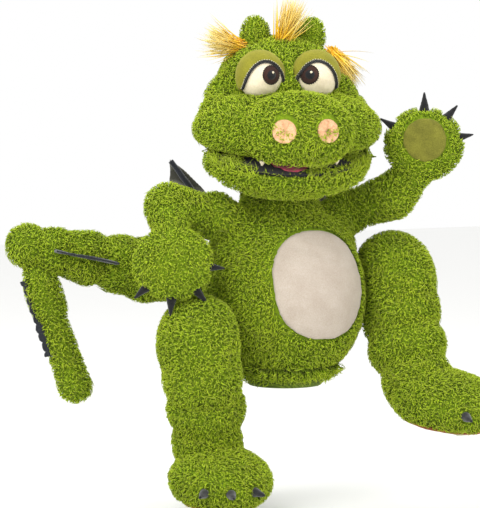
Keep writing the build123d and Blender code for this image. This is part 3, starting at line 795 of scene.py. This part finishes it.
def sewn_disc(name, dome, at, radius, proud, mat, body, nodes=(), rings=7, spokes=36):
    """A round felt piece lying on a dome with its edge tucked in; returns its rim points."""
    place, facing, _, _ = dome.find_nearest(tuple(at))
    place, facing = np.array(place), np.array(facing)
    first = unit(np.cross(UP, facing))
    second = np.cross(facing, first)
    top, under = [], []
    for ring in range(rings + 1):
        share = ring / rings
        for spoke in range(spokes):
            turn = 2 * math.pi * spoke / spokes
            spot = place + radius * share * (first * math.cos(turn) + second * math.sin(turn))
            hit = dome.ray_cast(tuple(spot + facing * 25 * MM), tuple(-facing), 60 * MM)[0]
            spot = np.array(hit) if hit is not None else spot
            top.append(spot + facing * proud * MM * (1 - share ** 4))
            under.append(spot - facing * 0.7 * MM)
    faces = []
    for layer, flip in ((0, False), (len(top), True)):
        for ring in range(rings):
            for spoke in range(spokes):
                a = layer + ring * spokes + spoke
                b = layer + ring * spokes + (spoke + 1) % spokes
                quad = [a, a + spokes, b + spokes, b]
                faces.append(quad[::-1] if flip else quad)
    edge = rings * spokes
    for spoke in range(spokes):
        a, b = edge + spoke, edge + (spoke + 1) % spokes
        faces.append([a, a + len(top), b + len(top), b])
    obj = new_object(name, np.array(top + under), faces)
    finish(obj, mat, body, nodes)
    return np.array(top)[edge:] + facing * 0.2 * MM, facing


def arch_line(part, count=30):
    """Points along the middle of a thin upright arch, from its -X foot to the other."""
    solid = moulded("arch", [part], 0.8, 0)
    points = coords(solid)
    bpy.data.objects.remove(solid)
    across = -unit(np.cross(UP, FACING))
    foot = (points.min(0) + points.max(0)) / 2
    foot[2] = points[:, 2].min()
    where = np.arctan2(points[:, 2] - foot[2], (foot - points) @ across)
    marks = np.linspace(where.min(), where.max(), count + 1)
    line = []
    for a, b in zip(marks[:-1], marks[1:]):
        inside = (where >= a) & (where <= b)
        if inside.any():
            line.append(points[inside].mean(0))
    line = np.array(line)
    line[1:-1] = (line[:-2] + line[1:-1] * 2 + line[2:]) / 4
    return line if line[0, 0] < line[-1, 0] else line[::-1]


def resampled(line, pitch):
    step = np.concatenate([[0], np.cumsum(np.linalg.norm(np.diff(line, axis=0), axis=1))])
    marks = np.linspace(0, step[-1], max(4, int(step[-1] / pitch)))
    return np.stack([np.interp(marks, step, line[:, k]) for k in range(3)], 1), marks


def twisted_cord(name, line, radius, mat, turn_length=4.5):
    """Two plies twisted about a line, tapering at both ends."""
    line, marks = resampled(np.array(line), 0.5 * MM)
    heading = np.gradient(line, axis=0)
    heading /= np.linalg.norm(heading, axis=1, keepdims=True)
    side = np.cross(heading, FACING)
    side /= np.linalg.norm(side, axis=1, keepdims=True)
    other = np.cross(heading, side)
    fade = np.clip(np.minimum(marks, marks[-1] - marks) / (4 * MM), 0.25, 1)[:, None]
    points, faces = [], []
    for ply in range(2):
        turn = (2 * math.pi * marks / (turn_length * MM) + math.pi * ply)[:, None]
        core = line + (side * np.cos(turn) + other * np.sin(turn)) * radius * 0.5 * MM * fade
        offset = len(points)
        for i in range(len(core)):
            for k in range(8):
                a = 2 * math.pi * k / 8
                points.append(core[i] + (side[i] * math.cos(a) + other[i] * math.sin(a))
                              * radius * 0.62 * MM * fade[i])
        for i in range(len(core) - 1):
            for k in range(8):
                a, b = offset + i * 8 + k, offset + i * 8 + (k + 1) % 8
                faces.append([a, b, b + 8, a + 8])
        faces.append([offset + k for k in range(7, -1, -1)])
        faces.append([offset + (len(core) - 1) * 8 + k for k in range(8)])
    obj = new_object(name, np.array(points), faces)
    obj.data.materials.append(mat)
    return obj


irises, pupils, lashes = islands("irises"), islands("pupils"), islands("lash_lines")
for index, side in enumerate(SIDES):
    dome = moulded(f"eye_{side}_dome", [node_mesh(f"eye_{side}")], 1.8, 5, 1)
    finish(ripple(dome, 0.25, 9), white_felt, "head", (f"eye_{side}",))
    lid = moulded(f"eyelid_{side}_soft", [node_mesh(f"eyelid_{side}")], 1.5, 4, 1)
    finish(ripple(lid, 0.35, 11), lid_velour, "head", (f"eyelid_{side}",))
    faces = [tuple(f.vertices) for f in dome.data.polygons]
    dome_tree = surface(coords(dome), faces)
    lid_tree = surface(coords(lid), [tuple(f.vertices) for f in lid.data.polygons])
    iris_low, iris_high = irises[index][0].min(0), irises[index][0].max(0)
    iris_at, iris_radius = (iris_low + iris_high) / 2, (iris_high[2] - iris_low[2]) / 2
    pupil_low, pupil_high = pupils[index][0].min(0), pupils[index][0].max(0)
    pupil_at, pupil_radius = (pupil_low + pupil_high) / 2, (pupil_high[2] - pupil_low[2]) / 2
    rim, facing = sewn_disc(f"iris_{side}", dome_tree, iris_at, iris_radius, 1.3, iris_felt, "head",
                            ("irises",))
    outline = stitches(f"iris_{side}_outline", rim, thread_dark, 2.4, 0.5, 0.75)
    finish(outline, thread_dark, "head")
    sewn_disc(f"pupil_{side}", dome_tree, pupil_at + facing * MM, pupil_radius, 2.3, black_felt,
              "head", ("pupils",), 5, 28)
    glint = pupil_at + (unit(np.cross(UP, facing)) * 0.25 + UP * 0.45) * pupil_radius
    sewn_disc(f"glint_{side}", dome_tree, glint, pupil_radius * 0.3, 3.1, white_felt, "head",
              (), 3, 16)
    line = arch_line(lashes[index])
    cord = twisted_cord(f"lash_{side}", line, 1.9, black_felt)
    finish(cord, black_felt, "head", ("lash_lines",))
    seam = []
    for spot in resampled(line, 2 * MM)[0]:
        spot = spot + unit(spot - middle(f"eye_{side}")) * 3.4 * MM
        near, out, _, _ = lid_tree.find_nearest(tuple(spot))
        seam.append(np.array(near) + np.array(out) * 0.3 * MM)
    finish(stitches(f"eyelid_{side}_stitches", seam, thread_pale, 2.2, 1.2, 0.45, closed=False),
           thread_pale, "head")
    nostril = moulded(f"nostril_{side}_soft", [node_mesh(f"nostril_{side}")], 1.4, 4, 1)
    points, centre = coords(nostril), middle(f"nostril_{side}")
    across = unit(np.cross(UP, FACING))
    flat = points - centre
    flat -= np.outer(flat @ FACING, FACING)
    turn = np.arctan2(flat[:, 2], flat @ across)
    reach = np.linalg.norm(flat, axis=1) / MM
    pinch = np.exp(-(reach / 4.0) ** 2) * 2.8 + np.abs(np.cos(3.5 * turn + index)) ** 6 * np.clip(reach / 6, 0, 1) * 1.3
    front = (points - centre) @ FACING > 0
    set_coords(nostril, points - np.outer(pinch * front * MM, FACING) + DOWN * 5 * MM)
    finish(nostril, peach_velour, "head", (f"nostril_{side}",))

for index, (points, faces) in enumerate(islands("fangs")):
    fang = moulded(f"fang_{SIDES[index]}", [(points, faces)], 0.7, 3)
    finish(fang, white_felt, "head", ("fangs",))

tongue = moulded("tongue_soft", [node_mesh("tongue")], 1.5, 3, 1)
finish(ripple(tongue, 1.4, 7, along=UP), tongue_velour, "jaw", ("tongue",))


def hair(name, node, seed, rise, count=280, spread=0.5):
    """A fan of long golden strands from the inner end of the node to its outer end."""
    random = np.random.default_rng(seed)
    points = node_mesh(node)[0]
    centre = points.mean(0)
    axis = np.linalg.svd(points - centre, full_matrices=False)[2][0]
    crown = (box("head_skin")[0] + box("head_skin")[1]) / 2
    if (centre - crown) @ axis < 0:
        axis = -axis
    reach = (points - centre) @ axis
    root = centre + axis * reach.min() * 0.92
    long = (reach.max() - reach.min()) * 0.98
    jitter = random.normal(size=(count, 3)) * 3.2 * MM
    start = root + jitter * 1.1
    way = axis + random.normal(size=(count, 3)) * spread * np.array([1, 1, 1]) * 0.5
    way /= np.linalg.norm(way, axis=1, keepdims=True)
    reach = long * random.uniform(0.6, 1.06, count)[:, None]
    steps = []
    for share in np.linspace(0, 1, 6):
        curl = UP * rise * share ** 2 * 0.3 + swirl(start, 9) * 0.05 * share
        steps.append(start + reach * share * way + reach * curl)
    paths = np.stack(steps, 1)
    thick = 1.15 * MM * random.uniform(0.6, 1.2, count)
    widths = thick[:, None] * np.array([0.9, 1.0, 0.9, 0.7, 0.45, 0.0])[None]
    coat = strand_object(name, paths, widths, golden, random=random)
    finish(coat, golden, "head", (node,))


hair("hair_right", "hair_tuft_right", 41, 0.35)
hair("hair_centre", "hair_tuft_centre", 42, 0.9)
hair("hair_left", "hair_tuft_left", 43, -0.5)


# ------------------------------------------------------------------ limbs
def toward(direction, out=0.25):
    return lambda points: np.tile(direction, (len(points), 1))


def claws(name, node, body):
    """Stuffed felt claws, a little longer than their solids so that they show past the pile."""
    longer = []
    for points, faces in islands(node):
        axis = np.linalg.svd(points - points.mean(0), full_matrices=False)[2][0]
        centre = points.mean(0)
        reach = (points - centre) @ axis
        longer.append((points + np.outer(reach * 0.25, axis) + (points - centre) * 0.12, faces))
    obj = moulded(name, longer, 0.9, 4)
    finish(ripple(obj, 0.25, 5), black_felt, body, (node,))


for index, side in enumerate(SIDES):
    elbow, wrist = JOINT[f"{side}_elbow"], JOINT[f"{side}_wrist"]
    shoulder, ankle = JOINT[f"{side}_shoulder"], JOINT[f"{side}_ankle"]
    hand = middle(f"paw_{side}")
    mid = (elbow + wrist) / 2
    way = unit(wrist - elbow)
    skin = arms[side]
    outer = mask_faces(clone(skin, f"paw_{side}_skin"), ahead_of(mid, way))
    inner = mask_faces(skin, behind(mid, way))
    bits = clear_of([f"palm_pad_{side}"], 1.6)
    claw_room = clear_of([f"claws_{side}"], 5)
    turn = 26 * MM
    plush_piece(f"arm_{side}", inner, f"{side}_upper_arm", (f"upper_arm_{side}", f"forearm_{side}"),
                51 + index, toward(unit(wrist - shoulder)), None,
                (f"{side}_forearm", elbow + unit(shoulder - elbow) * turn, elbow + way * turn))
    bend_end = wrist + unit(hand - wrist) * turn
    plush_piece(f"paw_{side}", outer, f"{side}_forearm", (f"paw_{side}",), 53 + index,
                toward(unit(hand - wrist)), all_of(bits, claw_room),
                (f"{side}_hand", wrist - way * turn, bend_end), length=8.5)
    pad = moulded(f"palm_{side}_soft", [node_mesh(f"palm_pad_{side}")], 1.6, 4, 1)
    finish(ripple(pad, 0.6, 12), palm_velour, f"{side}_hand", (f"palm_pad_{side}",))
    claws(f"claws_{side}_felt", f"claws_{side}", f"{side}_hand")

    plush_piece(f"haunch_{side}", haunches[side], f"{side}_thigh", (f"haunch_{side}",), 55 + index,
                lay_out_from(middle(f"haunch_{side}"), 0.8))
    foot = middle(f"foot_{side}")
    knee = JOINT[f"{side}_knee"]
    plush_piece(f"leg_{side}", legs[side], f"{side}_lower_leg", (f"shin_{side}", f"foot_{side}"),
                57 + index, lay_out_from(knee, 0.7),
                all_of(clear_of([f"sole_{side}"], 1.6), clear_of([f"toe_claws_{side}"], 5)),
                (f"{side}_foot", ankle + unit(knee - ankle) * 28 * MM,
                 ankle + unit(foot - ankle) * 28 * MM))
    sole = moulded(f"sole_{side}_soft", [node_mesh(f"sole_{side}")], 1.8, 4, 1)
    finish(ripple(sole, 0.5, 14), sole_suede, f"{side}_foot", (f"sole_{side}",))
    claws(f"toe_claws_{side}_felt", f"toe_claws_{side}", f"{side}_foot")


# ------------------------------------------------------------------ tail
root, bend, curl = JOINT["tail_swing"], JOINT["tail_bend"], JOINT["tail_curl"]
tip = middle("tail_tip")
tip = tip + (tip - curl)
cut = (bend + curl) / 2
way = unit(curl - bend)
hanging = cut[0] - 8 * MM             # the end segment hangs wholly beyond this X


def on_end(points):
    """Which points belong to the hanging end of the tail rather than to its root and middle."""
    return ((points - cut) @ way > 0) | (points[:, 0] < hanging)


tail_outer = mask_faces(clone(tail, "tail_tip_skin"), on_end)
tail_inner = mask_faces(tail, lambda points: ~on_end(points))
spines = clear_of(["spine_mid"], 1.0)
plush_piece("tail", tail_inner, "tail_base", ("tail_base", "tail_mid"), 61,
            toward(way * 0.8 + DOWN * 0.4), spines,
            ("tail_middle", bend + unit(root - bend) * 34 * MM, bend + way * 34 * MM))
plush_piece("tail_end", tail_outer, "tail_middle", ("tail_tip",), 62,
            toward(DOWN), spines,
            ("tail_end", curl - way * 30 * MM, curl + unit(tip - curl) * 30 * MM))
for node, body, start, end, grow in (("spine_mid", "tail_middle", bend, curl, 10.0),
                                     ("spine_tip", "tail_end", curl, tip, -3.0)):
    strip = moulded(f"{node}_felt", [node_mesh(node)], 1.2, 2)
    points, line = coords(strip), unit(end - start)
    reach = (points - start) @ line
    out = points - start - np.outer(reach, line)
    high = np.linalg.norm(out, axis=1)
    share = np.clip((high - high.min()) / (12 * MM), 0, 1)
    scallop = np.abs(np.sin(reach / MM * math.pi / 13)) ** 0.6
    rise = share * (grow + 4.0 * (scallop - 0.5)) * MM
    set_coords(strip, points + out / high[:, None] * rise[:, None])
    finish(ripple(strip, 1.0, 10), dark_felt, body, (node,))


# ------------------------------------------------------------------ wings
membrane, tree, shader = new_material("wing_membrane", 0.9, 0.3, "FFF0E0")
place = tree.nodes.new("ShaderNodeTexCoord")
stripes = tree.nodes.new("ShaderNodeTexWave")
stripes.bands_direction = "DIAGONAL"
stripes.inputs["Scale"].default_value = 16
stripes.inputs["Distortion"].default_value = 5
stripes.inputs["Detail"].default_value = 2
tree.links.new(place.outputs["Object"], stripes.inputs["Vector"])
tree.links.new(ramp(tree, stripes.outputs["Fac"], ((0.2, "3C3C34"), (0.8, "77766A"))),
               shader.inputs["Base Color"])
bump(tree, shader, noise(tree, 1.2, 5), 0.6, 0.5)
for side in SIDES:
    sheet = moulded(f"wing_{side}_membrane", [node_mesh(f"wing_membrane_{side}")], 1.5, 2)
    finish(ripple(sheet, 1.6, 17), membrane, f"{side}_wing", (f"wing_membrane_{side}",))
    struts = moulded(f"wing_{side}_struts", [node_mesh(f"wing_struts_{side}")], 1.5, 2)
    finish(ripple(struts, 0.4, 12), dark_felt, f"{side}_wing", (f"wing_struts_{side}",))


# ------------------------------------------------------------------ carried-over CAD nodes
def dress(node, mat):
    """Gives a CAD node that stays shown its own material."""
    obj = frame["nodes"][node]
    obj.data.materials.clear()
    obj.data.materials.append(mat)


for node, mat in (("upper_mouth_plate", mouth_cloth), ("lower_mouth_plate", mouth_cloth),
                  ("finger_pocket", lining_weave), ("thumb_pocket", lining_weave)):
    dress(node, mat)


# ------------------------------------------------------------------ studio
def plain_material(name, colour, roughness=0.9):
    mat, tree, shader = new_material(name, roughness, 0)
    shader.inputs["Base Color"].default_value = srgb(colour)
    return mat


low, high = (np.array(corner) for corner in cad_box)
floor_z = low[2] - 14 * MM
floor = new_object("floor", np.array([(-4, -4, floor_z), (4, -4, floor_z), (4, 4, floor_z), (-4, 4, floor_z)]),
                   [[0, 1, 2, 3]])
floor.data.materials.append(plain_material("floor_white", "F4F4F2"))

world = bpy.data.worlds.new("studio")
world.use_nodes = True
world.node_tree.nodes["Background"].inputs["Color"].default_value = srgb("FFFFFF")
world.node_tree.nodes["Background"].inputs["Strength"].default_value = 1.0
bpy.context.scene.world = world
bpy.context.scene.view_settings.view_transform = "Standard"


def lamp(name, place, aim, size, power):
    light = bpy.data.lights.new(name, "AREA")
    light.size = size
    light.energy = power
    obj = place_object(name, light)
    obj.location = place
    obj.rotation_euler = (Vector(aim) - Vector(place)).to_track_quat("-Z", "Y").to_euler()


AZIMUTH, ELEVATION = math.radians(-25), math.radians(5)
back = np.array([math.sin(AZIMUTH) * math.cos(ELEVATION), -math.cos(AZIMUTH) * math.cos(ELEVATION),
                 math.sin(ELEVATION)])
right = np.array([math.cos(AZIMUTH), math.sin(AZIMUTH), 0])
target = np.array([-0.0544, 0.0254, 0.1753])
lamp("key", tuple(target + back * 1.2 + UP * 1.1 - right * 0.7), tuple(target), 1.0, 21)
lamp("fill", tuple(target + back * 1.3 + UP * 0.2 + right * 1.1), tuple(target), 1.2, 9)
lamp("top", tuple(target + UP * 1.6 - back * 0.3), tuple(target), 1.2, 11)

camera = place_object("camera", bpy.data.cameras.new("camera"))
camera.data.lens = 265
camera.location = target + back * 5.0
camera.rotation_euler = Vector(-back).to_track_quat("-Z", "Y").to_euler()
bpy.context.scene.camera = camera
